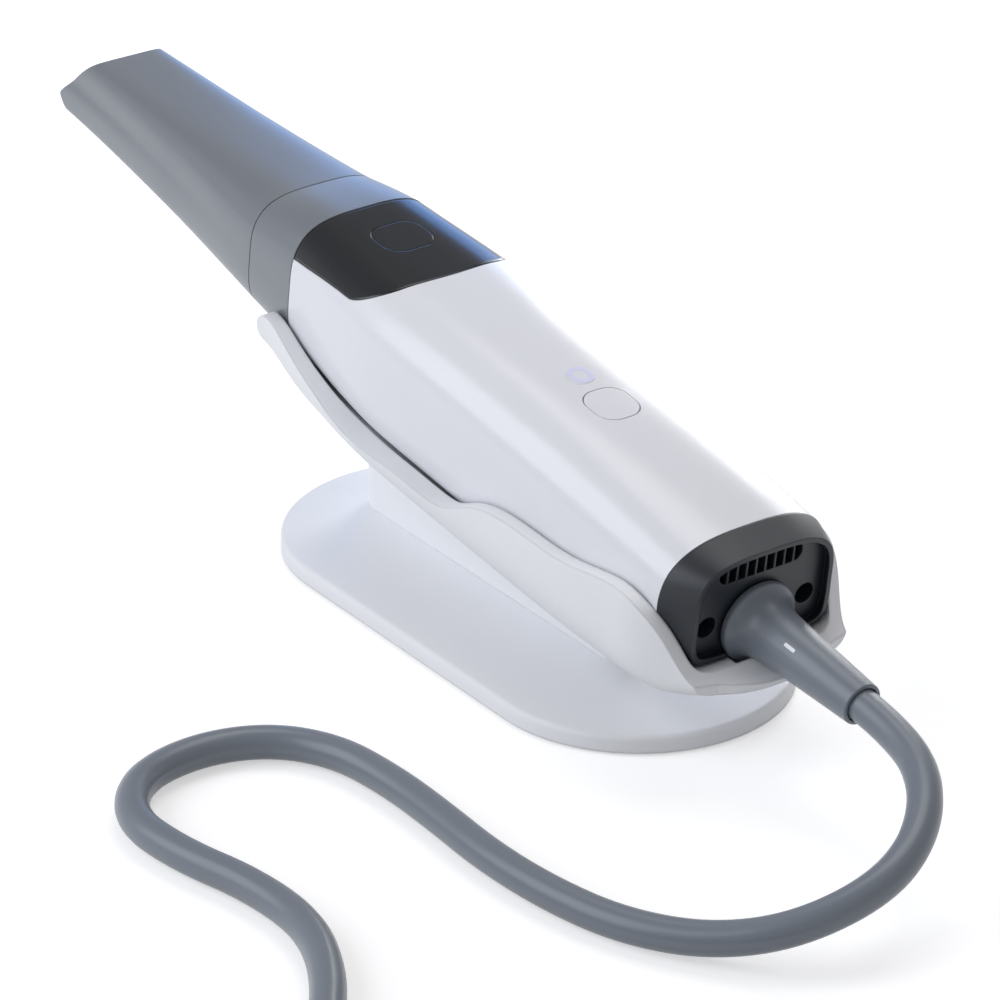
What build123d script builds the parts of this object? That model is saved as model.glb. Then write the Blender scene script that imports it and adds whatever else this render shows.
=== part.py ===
# Intraoral scanner resting in its desk cradle, in millimetres.
# The origin is the middle of the base's underside. +Z is up, +X is where the tip points.
# The handpiece has a frame of its own: u along it towards the tip, y across, w up.
import os
from math import cos, degrees, pi, radians, sin, tan
from build123d import *

os.makedirs("parts", exist_ok=True)

# Handpiece: place in the cradle, lengths along its axis
tilt = 7.5
axis_height = 38.6
rim_u = -74.75
cap_length = 7.45
barrel_length = 130.0
collar_length = 16.8
tip_length = 89.4
joint_gap = 0.16
seam_gap = 0.25

# Places along the handpiece that follow from the lengths
cap_u = rim_u + cap_length
collar_u = cap_u + barrel_length
seam_u = collar_u + collar_length
nose_u = seam_u + tip_length
tip_slope_u = seam_u + 0.833 * tip_length
overrun = 3.2
cut_over = 1.0

# Sections of the handpiece: place, half width, top, bottom, squareness above and below
stations = [
    (rim_u - 12.0, 15.9, 16.4, -4.6, 3.4, 8.0),
    (rim_u, 16.8, 17.1, -5.2, 3.4, 8.0),
    (cap_u, 20.4, 18.6, -8.6, 2.8, 4.0),
    (cap_u + 0.34 * barrel_length, 21.4, 21.8, -13.5, 2.9, 2.9),
    (cap_u + 0.70 * barrel_length, 21.8, 22.9, -12.6, 3.1, 3.1),
    (collar_u, 18.1, 22.9, -9.8, 3.4, 3.4),
    (seam_u, 16.9, 20.1, -8.2, 3.4, 3.4),
    (seam_u + 0.41 * tip_length, 12.9, 17.1, -5.1, 4.6, 4.6),
    (tip_slope_u, 10.2, 15.0, -3.0, 6.6, 6.6),
    (nose_u + overrun, 9.5, 13.9, -2.4, 7.4, 7.4),
]
points_around = 32
section_step = 7.0

# Walls
housing_wall = 2.4
lip_wall = 1.0
collar_wall = 1.4
tip_wall = 1.4
neck_wall = 1.3
neck_clearance = 0.4

# Tip end, mirror and window
slope_angle = 45.0
slope_foot_w = 1.9
slope_foot_setback = 0.5
chin_run = 0.7
nose_radius = 1.6
mirror_thickness = 0.8
mirror_width = 14.4
mirror_foot_w = 4.0
mirror_top_w = 11.4
window_length = 14.0
window_width = 13.0
window_corner = 1.5
window_nose_margin = 5.4
neck_length = 45.0
glass_thickness = 1.5
glass_seat = 0.6
glass_clearance = 0.1

# Glossy panel and the controls on top
panel_length = 31.6
panel_bow = 3.2
panel_front_half = 17.3
panel_rear_half = 18.9
panel_corner = 9.0
panel_thickness = 1.3
panel_gap = 0.12
panel_edge = 0.6
scan_u = collar_u - 13.8
scan_size = (10.7, 11.8)
function_u = cap_u + 43.8
function_size = (10.5, 9.9)
button_corner = 3.9
button_gap = 0.22
button_travel = 0.5
flange_rim = 0.8
flange_thickness = 0.9
flange_gap = 0.16
stem_diameter = 3.0
stem_gap = 0.1
switch_height = 2.2
lamp_size = (2.4, 2.0, 1.0)
light_u = function_u + 10.6
light_size = 5.0
light_corner = 1.8
light_gap = 0.05
light_skirt = 0.6

# Belly cover
cover_length = 92.0
cover_width = 22.0
cover_corner = 7.0
cover_gap = 0.15
cover_mid_u = cap_u + 61.3
cover_screw_inset = 6.0
cover_screw_diameter = 1.6
cover_head_diameter = 3.0
cover_head_height = 0.8
cover_head_sink = 0.5

# Rear cap
face_depth = 2.05
face_thickness = 2.2
spigot_length = 4.0
spigot_wall = 1.2
spigot_gap = 0.2
vent_count = 9
vent_width = 1.85
vent_bar = 0.45
vent_height = 4.1
vent_corner = 1.9
vent_w = 12.7
cap_screw_y = 12.05
cap_screw_w = 1.9
cap_hole_diameter = 4.5
cap_boss_diameter = 7.2
cap_boss_length = 6.6
well_floor = 1.6
cap_head_diameter = 3.9
cap_head_height = 1.5
cap_screw_diameter = 2.0
cap_screw_length = 9.0
recess_width = 0.6
recess_span = 2.2
screw_clearance = 0.15

# Cable boot and cable
bell_diameter = 17.4
bell_lip = 1.6
bell_length = 8.6
bell_edge = 0.7
boot_neck_diameter = 11.4
boot_end_diameter = 8.8
boot_length = 32.9
boot_flange_diameter = 10.0
boot_flange_thickness = 1.6
boot_throat_diameter = 8.4
boot_gap = 0.15
bell_gap = 0.4
cable_diameter = 6.8
boot_recess_depth = 1.2
boot_recess_gap = 0.3
boot_end_edge = 0.35
bell_slopes = ((-0.5, -1), (-1, -0.06))
connector_diameter = 6.6
connector_length = 5.0

# Electronics and optics inside
floor_w = -6.0
floor_thickness = 1.4
chassis_half = 12.0
chassis_setback = 7.0
chassis_gap = 0.4
bulkhead_u = cap_u + 6.2
bulkhead_thickness = 1.6
bulkhead_top_w = 12.2
bulkhead_half = 15.4
board_w = 6.4
board_thickness = 1.6
board_half = 12.5
board_start_u = cap_u + 17.0
board_length = 70.0
board_corner = 2.5
pillar_diameter = 4.4
pillar_inset = 3.6
pillar_foot_gap = 0.45
chip_length = 14.0
chip_width = 14.0
chip_height = 0.9
chip_gap = 0.1
driver_chip = (10.0, 10.0, 1.2)
socket = (6.0, 12.0, 3.0)
spacer_diameter = 3.6
key_board_w = 12.6
key_board_thickness = 1.2
key_board_half = 6.5
key_board_margin = 7.0
spacer_inset = 2.4
spacer_front_inset = 4.6
switch_size = 6.0
switch_plunger_diameter = 3.2
switch_plunger_height = 0.7
fan_size = 20.0
fan_depth = 7.0
fan_w = floor_w + floor_thickness + fan_size / 2
fan_bore = 18.0
fan_hub_diameter = 8.6
fan_blades = 7
fan_blade_angle = 34.0
fan_blade_thickness = 0.7
fan_blade_gap = 0.5
fan_spider_thickness = 1.0
fan_arm_width = 1.4
fan_end_gap = 0.3
fan_blade_sink = 0.6
fan_shaft_diameter = 2.0
fan_shaft_gap = 0.08
sink_length = 30.0
sink_offset = 10.0
sink_width = 20.0
sink_base = 2.0
sink_fins = 7
sink_fin_thickness = 0.9
projector_length = 32.0
projector_size = (10.0, 13.0)
camera_length = 27.0
camera_size = (10.0, 11.0)
module_y = 6.2
barrel_diameter = 7.6
barrel_reach = 9.0
module_front_gap = 2.0
module_corner = 1.0
lens_depth = 1.5
lens_rim = 0.8

# Desk cradle
base_length = 135.0
base_width = 64.75
base_thickness = 4.1
base_edge = 1.0
base_lift = 0.4
pad_thickness = 1.2
pad_margin = 3.0
weight_length = 112.0
weight_width = 42.0
weight_thickness = 1.4
pocket_gap = 0.1
pedestal_start_x = -37.0
pedestal_length = 92.0
pedestal_width = 11.4
pedestal_height = 26.0
cradle_wall = 3.1
cradle_gap_rear = 0.5
cradle_gap_front = 0.8
cradle_wall_stern = 1.8
cradle_keel = 3.0
cradle_keel_rear_run = 10.0
cradle_keel_front_run = 17.0
cradle_overhang = 9.4
cradle_front_reach = 8.0
cradle_front_rake = 1.5
cradle_stern_bow = 4.0
cradle_stern_half = 13.7
pedestal_blend = 4.0
boot_relief_gap = 0.5

# Cradle rim seen from the side: way back from the front end, then ahead of the cap's rim, and height
cradle_rim_front = [(0.0, -7.5), (4.8, 0.6), (14.0, -1.9), (26.5, -6.0), (39.0, -8.8), (58.0, -7.6)]
cradle_rim_rear = [(71.2, -6.2), (61.6, -0.6), (50.0, 2.4), (31.0, 4.0), (9.0, 6.2), (3.0, 1.3), (-1.2, -4.0)]
cradle_rim_stern = -5.9

# Fixing of the cradle to its base
cradle_screw_diameter = 3.0
cradle_screw_depth = 9.0
cradle_screw_spread = 56.0
cradle_head_diameter = 5.6
cradle_head_height = 1.3
weight_hole_gap = 0.45

# Cable on the table: hand-laid route, then a tied coil and a plug
coil_center = (-181.2, 122.6)
coil_turns_wide = 3
coil_turns_high = 2
coil_mean_radius = 38.0
coil_corner = 3.06
tie_width = 12.0
tie_thickness = 0.8
tie_corner = coil_corner + tie_thickness
tie_angle = 250.0
entry_angle = 54.0
plug_length = 24.0
plug_width = 14.6
plug_height = 8.0
plug_corner = 2.0
shell_length = 12.4
shell_width = 12.0
shell_height = 4.5
shell_wall = 0.4
shell_corner = 0.5
tongue_height = 1.9
tongue_length = 10.4
tongue_gap = 0.05
floor_z = cable_diameter / 2
cable_route = [
    (-131.2, 6.2, 21.0),
    (-140.6, 17.0, 17.2),
    (-143.6, 29.5, 13.4),
    (-138.6, 44.0, 8.2),
    (-127.6, 54.4, 4.4),
    (-113.4, 62.6, floor_z),
    (-97.0, 66.8, floor_z),
    (-79.0, 68.2, floor_z),
    (-61.5, 67.2, floor_z),
    (-46.0, 67.0, floor_z),
    (-29.8, 69.0, floor_z),
    (-18.1, 77.5, floor_z),
    (-13.6, 91.3, floor_z),
    (-18.1, 105.1, floor_z),
    (-29.8, 113.6, floor_z),
    (-45.0, 114.2, floor_z),
    (-61.5, 109.4, floor_z),
    (-79.0, 108.6, floor_z),
    (-94.6, 114.6, floor_z),
    (-109.4, 125.4, floor_z),
    (-125.0, 136.4, floor_z),
    (-141.0, 148.6, floor_z),
]
cable_lead = 14.0
arc_share = 0.45
tail_route = [(0.0, -2.0, 0.0), (-0.1, -17.0, -1.2), (-0.2, -32.0, -4.9)]
tail_foot_run = 13.0
tail_end_run = 10.0

# Planes of the handpiece frame
hand = Plane(
    origin=(0, 0, axis_height),
    x_dir=(cos(radians(tilt)), 0, sin(radians(tilt))),
    z_dir=(-sin(radians(tilt)), 0, cos(radians(tilt))),
)
side = Plane(origin=hand.origin, x_dir=hand.x_dir, z_dir=(0, -1, 0))
reach = 60.0


def across(u, y=0.0, w=0.0):
    return Plane(origin=hand.from_local_coords((u, y, w)), x_dir=(0, 1, 0), z_dir=hand.x_dir)


# Monotone cubic through one column of the stations
def station_slopes(column):
    rises = [(b[column] - a[column]) / (b[0] - a[0]) for a, b in zip(stations, stations[1:])]
    inner = [2 * p * q / (p + q) if p * q > 0 else 0.0 for p, q in zip(rises, rises[1:])]
    return [rises[0], *inner, rises[-1]]


slopes = [station_slopes(column) for column in range(1, 6)]


def size_at(u, column):
    last = len(stations) - 2
    i = max([k for k in range(last + 1) if stations[k][0] <= u], default=0)
    start, end = stations[i], stations[i + 1]
    span = end[0] - start[0]
    t = (u - start[0]) / span
    leave, arrive = slopes[column - 1][i] * span, slopes[column - 1][i + 1] * span
    value = (2 * t**3 - 3 * t**2 + 1) * start[column] + (3 * t**2 - 2 * t**3) * end[column]
    return value + (t**3 - 2 * t**2 + t) * leave + (t**3 - t**2) * arrive


def half_width(u):
    return size_at(u, 1)


def top_w(u):
    return size_at(u, 2)


def bottom_w(u):
    return size_at(u, 3)


# One rounded-square section, set in from the skin by inset and let down below by keel
def section_points(u, inset, keel):
    half, top, bottom = half_width(u) - inset, top_w(u) - inset, bottom_w(u) + inset - keel
    middle, rise = (top + bottom) / 2, (top - bottom) / 2
    points = []
    for k in range(points_around):
        c, s = cos(2 * pi * k / points_around), sin(2 * pi * k / points_around)
        power = 2 / size_at(u, 4 if s >= 0 else 5)
        y = half * abs(c) ** power * (1 if c >= 0 else -1)
        w = middle + rise * abs(s) ** power * (1 if s >= 0 else -1)
        points.append((y, w))
    return points


# Solid of the handpiece's form between two places, its skin set in by inset(u)
def form(start, end, inset, keel=lambda u: 0.0):
    count = max(3, round((end - start) / section_step) + 1)
    with BuildPart() as solid:
        for k in range(count):
            u = start + (end - start) * k / (count - 1)
            with BuildSketch(across(u)):
                with BuildLine():
                    Spline(*section_points(u, inset(u), keel(u)), periodic=True)
                make_face()
        loft()
    return solid.part


def even(inset):
    return lambda u: inset


def side_prism(points, half=reach):
    with BuildPart() as prism:
        with BuildSketch(side):
            with BuildLine():
                Polyline(*points, close=True)
            make_face()
        extrude(amount=half, both=True)
    return prism.part


# Block, post along w and rod along u, all in the handpiece frame
def block(u_span, y_span, w_span, corner=0.0):
    length, width = u_span[1] - u_span[0], y_span[1] - y_span[0]
    with BuildPart() as solid:
        with BuildSketch(hand.offset(w_span[0])):
            with Locations(((u_span[0] + u_span[1]) / 2, (y_span[0] + y_span[1]) / 2)):
                if corner:
                    RectangleRounded(length, width, corner)
                else:
                    Rectangle(length, width)
        extrude(amount=w_span[1] - w_span[0])
    return solid.part


def post(u, y, w_span, diameter):
    with BuildPart() as solid:
        with BuildSketch(hand.offset(w_span[0])):
            with Locations((u, y)):
                Circle(diameter / 2)
        extrude(amount=w_span[1] - w_span[0])
    return solid.part


def rod(u_span, y, w, diameter):
    with BuildPart() as solid:
        with BuildSketch(across(u_span[0], y, w)):
            Circle(diameter / 2)
        extrude(amount=u_span[1] - u_span[0])
    return solid.part


def save(part, name):
    part.label = name
    export_step(part, f"parts/{name}.step")


# Tip sleeve: slip-on nose with a sloped end and a window underneath
neck_inset = tip_wall + neck_clearance
run = 1 / tan(radians(slope_angle))
slope_foot_u = nose_u - slope_foot_setback


def end_profile(back, retreat):
    shift = retreat / sin(radians(slope_angle))
    foot = (slope_foot_u - shift, slope_foot_w)
    high = (foot[0] - (reach - foot[1]) * run, reach)
    low = (foot[0] - chin_run * (reach + foot[1]), -reach)
    with BuildPart() as prism:
        with BuildSketch(side):
            with BuildLine():
                FilletPolyline((back, -reach), low, foot, high, (back, reach), radius=nose_radius, close=True)
            make_face()
        extrude(amount=reach, both=True)
    return prism.part


tip_skin = form(seam_u + seam_gap, nose_u + overrun, even(0))
bore_end = end_profile(seam_u - 2 * cut_over, tip_wall)
tip_bore = form(seam_u - cut_over, nose_u + overrun, even(tip_wall)) & bore_end
window_end_u = nose_u - window_nose_margin
window_cut = block(
    (window_end_u - window_length, window_end_u),
    (-window_width / 2, window_width / 2),
    (bottom_w(window_end_u) - 2 * tip_wall, bottom_w(window_end_u) + 2 * tip_wall),
    corner=window_corner,
)
with BuildPart() as tip_sleeve:
    add(tip_skin)
    add(end_profile(seam_u - 2 * cut_over, 0), mode=Mode.INTERSECT)
    add(tip_bore, mode=Mode.SUBTRACT)
    add(window_cut, mode=Mode.SUBTRACT)
save(tip_sleeve.part, "tip_sleeve")

# Mirror lying on the inside of the sloped end
bore_foot_u = slope_foot_u - tip_wall / sin(radians(slope_angle))


def slope_point(w, depth):
    along = bore_foot_u - (w - slope_foot_w) * run
    return (along - depth * sin(radians(slope_angle)), w - depth * cos(radians(slope_angle)))


with BuildPart() as tip_mirror:
    add(side_prism([
        slope_point(mirror_foot_w, 0),
        slope_point(mirror_top_w, 0),
        slope_point(mirror_top_w, mirror_thickness),
        slope_point(mirror_foot_w, mirror_thickness),
    ], mirror_width / 2))
save(tip_mirror.part, "tip_mirror")

# Collar behind the tip
with BuildPart() as nose_collar:
    add(form(collar_u + joint_gap, seam_u, even(0)))
    add(form(collar_u - cut_over, seam_u + cut_over, even(collar_wall)), mode=Mode.SUBTRACT)
save(nose_collar.part, "nose_collar")

# Neck that the tip slides onto, closed by a glass window
neck_start_u = collar_u + neck_clearance
neck_end_u = seam_u + neck_length
glass_u = neck_end_u - glass_thickness
with BuildPart() as optics_neck:
    add(form(neck_start_u, neck_end_u, even(neck_inset)))
    add(form(neck_start_u - cut_over, neck_end_u, even(neck_inset + neck_wall)), mode=Mode.SUBTRACT)
    add(form(glass_u, neck_end_u + cut_over, even(neck_inset + glass_seat)), mode=Mode.SUBTRACT)
save(optics_neck.part, "optics_neck")

with BuildPart() as front_window:
    add(form(glass_u, neck_end_u - glass_clearance, even(neck_inset + glass_seat + glass_clearance)))
save(front_window.part, "front_window")

# Barrel housing, with the pocket for the panel, the button holes and the belly opening
barrel_skin = form(cap_u, collar_u, even(0))
barrel_cavity = form(cap_u - cut_over, collar_u + cut_over, even(housing_wall))


def panel_prism(grow):
    rear_side, rear_mid = collar_u - panel_length + panel_bow - grow, collar_u - panel_length - grow
    front, half_front, half_rear = collar_u + cut_over, panel_front_half + grow, panel_rear_half + grow
    with BuildPart() as prism:
        with BuildSketch(hand.offset(top_w(collar_u) / 2)) as outline:
            with BuildLine():
                Line((front, half_front), (front, -half_front))
                Line((front, -half_front), (rear_side, -half_rear))
                ThreePointArc((rear_side, -half_rear), (rear_mid, 0), (rear_side, half_rear))
                Line((rear_side, half_rear), (front, half_front))
            make_face()
            fillet(outline.vertices().sort_by(Axis.X)[:2], panel_corner)
        extrude(amount=reach)
    return prism.part


def key_hole(u, size, grow, w_span):
    half_u, half_y = size[0] / 2 + grow, size[1] / 2 + grow
    return block((u - half_u, u + half_u), (-half_y, half_y), w_span, button_corner + grow)


high = (top_w(light_u) - 3 * housing_wall, reach)
panel_back_u = collar_u - panel_length - section_step
panel_end_u = collar_u + 2 * cut_over
panel_bed = form(panel_back_u, panel_end_u, even(panel_thickness + panel_gap))
panel_pocket = panel_prism(panel_gap) - panel_bed
light_hole = block(
    (light_u - light_size / 2 - light_gap, light_u + light_size / 2 + light_gap),
    (-light_size / 2 - light_gap, light_size / 2 + light_gap),
    high, light_corner + light_gap,
)


def cover_block(grow):
    half_u, half_y = cover_length / 2 + grow, cover_width / 2 + grow
    low = (-reach, floor_w + floor_thickness)
    return block((cover_mid_u - half_u, cover_mid_u + half_u), (-half_y, half_y), low, cover_corner + grow)


with BuildPart() as housing:
    add(barrel_skin)
    add(barrel_cavity, mode=Mode.SUBTRACT)
    add(panel_pocket, mode=Mode.SUBTRACT)
    add(key_hole(scan_u, scan_size, flange_rim + button_gap, high), mode=Mode.SUBTRACT)
    add(key_hole(function_u, function_size, button_gap, high), mode=Mode.SUBTRACT)
    add(light_hole, mode=Mode.SUBTRACT)
    add(cover_block(cover_gap), mode=Mode.SUBTRACT)
save(housing.part, "housing")

with BuildPart() as top_panel:
    add(barrel_skin)
    add(panel_prism(0), mode=Mode.INTERSECT)
    add(form(panel_back_u, panel_end_u, even(panel_thickness)), mode=Mode.SUBTRACT)
    fillet(top_panel.faces().sort_by(Axis.Z)[-1].outer_wire().edges(), panel_edge)
    add(key_hole(scan_u, scan_size, button_gap, high), mode=Mode.SUBTRACT)
save(top_panel.part, "top_panel")

# Buttons: cap flush with the skin, a flange that keeps it in, a stem over its switch
switch_w = key_board_w + key_board_thickness
plunger_w = switch_w + switch_height + switch_plunger_height
stem_w = plunger_w + button_travel + stem_gap


def button(u, size, cover_thickness, name):
    flange_w = top_w(u) - cover_thickness - flange_gap - flange_thickness
    under = form(u - size[0], u + size[0], even(cover_thickness + flange_gap))
    flange = key_hole(u, size, flange_rim, (flange_w, reach)) & under
    cap = key_hole(u, size, 0, (flange_w, reach)) & barrel_skin
    with BuildPart() as key:
        add(cap)
        add(flange)
        add(post(u, 0, (stem_w, flange_w + flange_thickness / 2), stem_diameter))
    save(key.part, name)


button(scan_u, scan_size, panel_thickness, "scan_button")
button(function_u, function_size, housing_wall, "function_button")

# Status light: a light pipe over its lamp on the key board
lamp_w = switch_w + lamp_size[2]
with BuildPart() as status_light:
    add(block(
        (light_u - light_size / 2, light_u + light_size / 2), (-light_size / 2, light_size / 2),
        (top_w(light_u) - housing_wall - light_skirt, reach), light_corner,
    ))
    add(barrel_skin, mode=Mode.INTERSECT)
    add(post(light_u, 0, (lamp_w + stem_gap, top_w(light_u) - housing_wall), stem_diameter))
save(status_light.part, "status_light")

# Belly cover and its screws, which reach the chassis
screw_reach = cover_length / 2 - cover_screw_inset
screw_y = cover_width / 2 - cover_screw_inset
cover_screw_places = [
    (u, y)
    for u in (cover_mid_u - screw_reach, cover_mid_u + screw_reach)
    for y in (-screw_y, screw_y)
]


def head_seat_w(u):
    return bottom_w(u) + cover_head_height + cover_head_sink


cover_head_hole = cover_head_diameter + 2 * screw_clearance
cover_screw_hole = cover_screw_diameter + 2 * screw_clearance
with BuildPart() as bottom_cover:
    add(barrel_skin)
    add(barrel_cavity, mode=Mode.SUBTRACT)
    add(cover_block(0), mode=Mode.INTERSECT)
    for u, y in cover_screw_places:
        add(post(u, y, (-reach, head_seat_w(u)), cover_head_hole), mode=Mode.SUBTRACT)
        add(post(u, y, (-reach, floor_w), cover_screw_hole), mode=Mode.SUBTRACT)
save(bottom_cover.part, "bottom_cover")


def group(name, solids):
    save(Compound(label=name, children=solids), name)


def cover_screw(u, y):
    with BuildPart() as screw:
        add(post(u, y, (head_seat_w(u) - cover_head_height, head_seat_w(u)), cover_head_diameter))
        add(post(u, y, (head_seat_w(u), floor_w + floor_thickness), cover_screw_diameter))
    return screw.part


group("cover_screws", [cover_screw(u, y) for u, y in cover_screw_places])

# Rear cap: recessed face with vents, screw wells and the boot's hole
face_u = rim_u + face_depth
face_back_u = face_u + face_thickness
well_floor_u = face_u + cap_boss_length - well_floor
flange_u = face_back_u + boot_gap
flange_end_u = flange_u + boot_flange_thickness
flange_pocket = boot_flange_diameter + 2 * boot_gap
cap_screw_places = [(y, cap_screw_w) for y in (-cap_screw_y, cap_screw_y)]
spigot_inset = housing_wall + spigot_gap


# One rounded window behind the lip, divided by thin bars
def vents():
    pitch = vent_width + vent_bar
    with BuildPart() as slots:
        with BuildSketch(across(rim_u, 0, vent_w)):
            RectangleRounded(vent_count * pitch - vent_bar, vent_height, vent_corner)
            with GridLocations(pitch, 0, vent_count - 1, 1):
                Rectangle(vent_bar, vent_height, mode=Mode.SUBTRACT)
        extrude(amount=face_back_u - rim_u + cut_over)
    return slots.part


spigot_end_u = cap_u + spigot_length
with BuildPart() as rear_cap:
    add(form(rim_u, cap_u - joint_gap, even(0)))
    add(form(face_back_u, spigot_end_u, even(spigot_inset)))
    add(form(face_back_u, spigot_end_u + cut_over, even(spigot_inset + spigot_wall)), mode=Mode.SUBTRACT)
    add(form(rim_u - cut_over, face_u, even(lip_wall)), mode=Mode.SUBTRACT)
    for y, w in cap_screw_places:
        add(rod((face_u, face_u + cap_boss_length), y, w, cap_boss_diameter))
    for y, w in cap_screw_places:
        add(rod((rim_u, well_floor_u), y, w, cap_hole_diameter), mode=Mode.SUBTRACT)
        add(rod((rim_u, spigot_end_u), y, w, cap_screw_diameter + 2 * screw_clearance), mode=Mode.SUBTRACT)
    add(rod((rim_u, face_back_u + cut_over), 0, 0, boot_throat_diameter + 2 * boot_gap), mode=Mode.SUBTRACT)
    add(rod((rim_u - cut_over, face_u), 0, 0, bell_diameter + 2 * bell_gap), mode=Mode.SUBTRACT)
    add(rod((face_back_u, flange_end_u + boot_gap), 0, 0, flange_pocket), mode=Mode.SUBTRACT)
    add(vents(), mode=Mode.SUBTRACT)
save(rear_cap.part, "rear_cap")


def cap_screw(y, w):
    with BuildPart() as screw:
        add(rod((well_floor_u - cap_head_height, well_floor_u), y, w, cap_head_diameter))
        add(rod((well_floor_u, well_floor_u + cap_screw_length), y, w, cap_screw_diameter))
        with BuildSketch(across(well_floor_u - cap_head_height, y, w)):
            Rectangle(recess_width, recess_span)
            Rectangle(recess_span, recess_width)
        extrude(amount=cap_head_height / 2, mode=Mode.SUBTRACT)
    return screw.part


group("cap_screws", [cap_screw(y, w) for y, w in cap_screw_places])

# Cable boot: flange behind the cap, trumpet bell outside it, long taper, recess for the cable
boot_end_u = face_u - boot_length
bell_u = face_u - boot_gap
recess_u = boot_end_u + boot_recess_depth
bell_radius, throat_radius = bell_diameter / 2, boot_throat_diameter / 2
neck_radius, end_radius = boot_neck_diameter / 2, boot_end_diameter / 2
recess_radius, flange_radius = cable_diameter / 2 + boot_recess_gap, boot_flange_diameter / 2
bell_middle = (bell_u - bell_length / 2, neck_radius + (bell_radius - neck_radius) / 4)
with BuildPart() as cable_boot:
    with BuildSketch(side):
        with BuildLine():
            Polyline(
                (recess_u, 0), (flange_end_u, 0), (flange_end_u, flange_radius), (flange_u, flange_radius),
                (flange_u, throat_radius), (bell_u, throat_radius), (bell_u, bell_radius),
                (bell_u - bell_lip, bell_radius),
            )
            Spline(
                (bell_u - bell_lip, bell_radius), bell_middle, (bell_u - bell_length, neck_radius),
                tangents=bell_slopes,
            )
            Polyline(
                (bell_u - bell_length, neck_radius), (boot_end_u, end_radius), (boot_end_u, recess_radius),
                (recess_u, recess_radius), (recess_u, 0),
            )
        make_face()
    revolve(axis=Axis(hand.origin, hand.x_dir))
    rings = cable_boot.edges().filter_by(GeomType.CIRCLE)
    fillet(rings.filter_by(lambda ring: abs(ring.radius - bell_radius) < bell_gap), bell_edge)
    rings = cable_boot.edges().filter_by(GeomType.CIRCLE)
    fillet(rings.filter_by(lambda ring: abs(ring.radius - end_radius) < boot_gap), boot_end_edge)
save(cable_boot.part, "cable_boot")

# Connector that the cable's leads end in, behind the boot
with BuildPart() as cable_connector:
    add(rod((flange_end_u, flange_end_u + connector_length), 0, 0, connector_diameter))
save(cable_connector.part, "cable_connector")

# Chassis: floor, bulkhead at the back and pillars for the main board
chassis_end_u = collar_u - chassis_setback
floor_top_w = floor_w + floor_thickness
fan_u = bulkhead_u + bulkhead_thickness
board_end_u = board_start_u + board_length
pillar_places = [
    (u, y)
    for u in (board_start_u + pillar_inset, board_end_u - pillar_inset)
    for y in (-board_half + pillar_inset, board_half - pillar_inset)
]
with BuildPart() as chassis:
    add(block((bulkhead_u, chassis_end_u), (-chassis_half, chassis_half), (floor_w, floor_top_w)))
    add(block((bulkhead_u, fan_u), (-bulkhead_half, bulkhead_half), (floor_w, bulkhead_top_w)))
    add(form(cap_u + cut_over, collar_u, even(housing_wall + chassis_gap)), mode=Mode.INTERSECT)
    for u, y in pillar_places:
        add(post(u, y, (floor_top_w, board_w), pillar_diameter))
    for u, y in cover_screw_places:
        add(post(u, y, (bottom_w(u) + housing_wall + pillar_foot_gap, floor_w), pillar_diameter))
        add(post(u, y, (-reach, floor_top_w), cover_screw_diameter), mode=Mode.SUBTRACT)
    add(rod((bulkhead_u - cut_over, fan_u), 0, fan_w, fan_bore), mode=Mode.SUBTRACT)
    for y, w in cap_screw_places:
        add(rod((bulkhead_u - cut_over, fan_u), y, w, cap_screw_diameter), mode=Mode.SUBTRACT)
save(chassis.part, "chassis")

# Cooling fan: frame with three arms and a shaft, and the rotor that turns on it
fan_end_u = fan_u + fan_depth
fan_low_w, fan_high_w = fan_w - fan_size / 2, fan_w + fan_size / 2
rotor_u = fan_u + fan_spider_thickness + fan_end_gap
rotor_end_u = fan_end_u - fan_end_gap
fan_arm_length = (fan_bore + fan_size) / 4
with BuildPart() as fan_frame:
    add(block((fan_u, fan_end_u), (-fan_size / 2, fan_size / 2), (fan_low_w, fan_high_w)))
    add(rod((fan_u - cut_over, fan_end_u + cut_over), 0, fan_w, fan_bore), mode=Mode.SUBTRACT)
    with BuildSketch(across(fan_u, 0, fan_w)):
        Circle(fan_hub_diameter / 2)
        with PolarLocations(fan_arm_length / 2, 3, start_angle=90):
            Rectangle(fan_arm_length, fan_arm_width)
    extrude(amount=fan_spider_thickness)
    add(rod((fan_u, rotor_end_u), 0, fan_w, fan_shaft_diameter))
save(fan_frame.part, "fan_frame")

blade_root = fan_hub_diameter / 2 - fan_blade_sink
blade_span = fan_bore / 2 - fan_blade_gap - blade_root
blade_chord = (rotor_end_u - rotor_u - fan_blade_thickness) / cos(radians(fan_blade_angle))
rotor_hole = fan_shaft_diameter + 2 * fan_shaft_gap
spin = across((rotor_u + rotor_end_u) / 2, 0, fan_w)
with BuildPart() as fan_rotor:
    add(rod((rotor_u, rotor_end_u), 0, fan_w, fan_hub_diameter))
    for k in range(fan_blades):
        turn = 2 * pi * k / fan_blades
        radial = spin.x_dir * cos(turn) + spin.y_dir * sin(turn)
        tangent = spin.y_dir * cos(turn) - spin.x_dir * sin(turn)
        chord = spin.z_dir * cos(radians(fan_blade_angle)) + tangent * sin(radians(fan_blade_angle))
        with BuildSketch(Plane(origin=spin.origin + radial * blade_root, x_dir=chord, z_dir=radial)):
            Rectangle(blade_chord, fan_blade_thickness)
        extrude(amount=blade_span)
    add(rod((rotor_u - cut_over, rotor_end_u + cut_over), 0, fan_w, rotor_hole), mode=Mode.SUBTRACT)
save(fan_rotor.part, "fan_rotor")

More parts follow.
